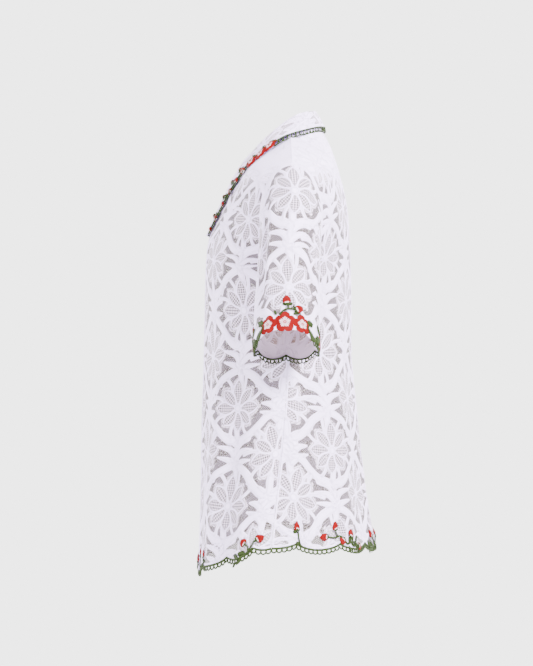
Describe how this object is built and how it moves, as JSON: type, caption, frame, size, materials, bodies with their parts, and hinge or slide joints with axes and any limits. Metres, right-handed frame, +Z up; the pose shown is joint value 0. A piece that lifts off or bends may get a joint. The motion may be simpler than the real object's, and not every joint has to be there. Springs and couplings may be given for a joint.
{
  "type": "kebaya blouse",
  "caption": "Short-sleeved white lace kebaya blouse in its worn, hollow form, with a shawl collar and scalloped green edging with red flowers at collar, cuffs and hem.",
  "frame": {"origin": "midway between the two shoulder seams, at the height of the middle of each seam, where the wearer's shoulders carry the blouse", "axes": "+Z up, the front faces -Y, the wearer's left side is +X"},
  "size_m": [0.5762, 0.2822, 0.7397],
  "materials": {
    "white_lace": "openwork cotton lace, matt, with raised ribbons",
    "green_edging": "embroidered thread, soft sheen",
    "red_petal": "satin-stitch embroidery, soft sheen"
  },
  "bodies": {
    "root": {"back": "white_lace", "front_left": "white_lace", "front_right": "white_lace", "sleeve_left": "white_lace", "sleeve_right": "white_lace", "collar": "white_lace", "collar_stand": "white_lace", "collar_edging_left": "green_edging", "collar_edging_right": "green_edging", "cuff_edging_left": "green_edging", "cuff_edging_right": "green_edging", "hem_edging_back": "green_edging", "hem_edging_front_left": "green_edging", "hem_edging_front_right": "green_edging", "collar_flower_left_1": "red_petal", "collar_flower_left_2": "red_petal", "collar_flower_left_3": "red_petal", "collar_flower_right_1": "red_petal", "collar_flower_right_2": "red_petal", "collar_flower_right_3": "red_petal", "cuff_flower_left_1": "red_petal", "cuff_flower_left_2": "red_petal", "cuff_flower_left_3": "red_petal", "cuff_flower_left_4": "red_petal", "cuff_flower_left_5": "red_petal", "cuff_flower_left_6": "red_petal", "cuff_flower_left_7": "red_petal", "cuff_flower_left_8": "red_petal", "cuff_flower_left_9": "red_petal", "cuff_flower_right_1": "red_petal", "cuff_flower_right_2": "red_petal", "cuff_flower_right_3": "red_petal", "cuff_flower_right_4": "red_petal", "cuff_flower_right_5": "red_petal", "cuff_flower_right_6": "red_petal", "cuff_flower_right_7": "red_petal", "cuff_flower_right_8": "red_petal", "cuff_flower_right_9": "red_petal"}
  },
  "joints": []
}
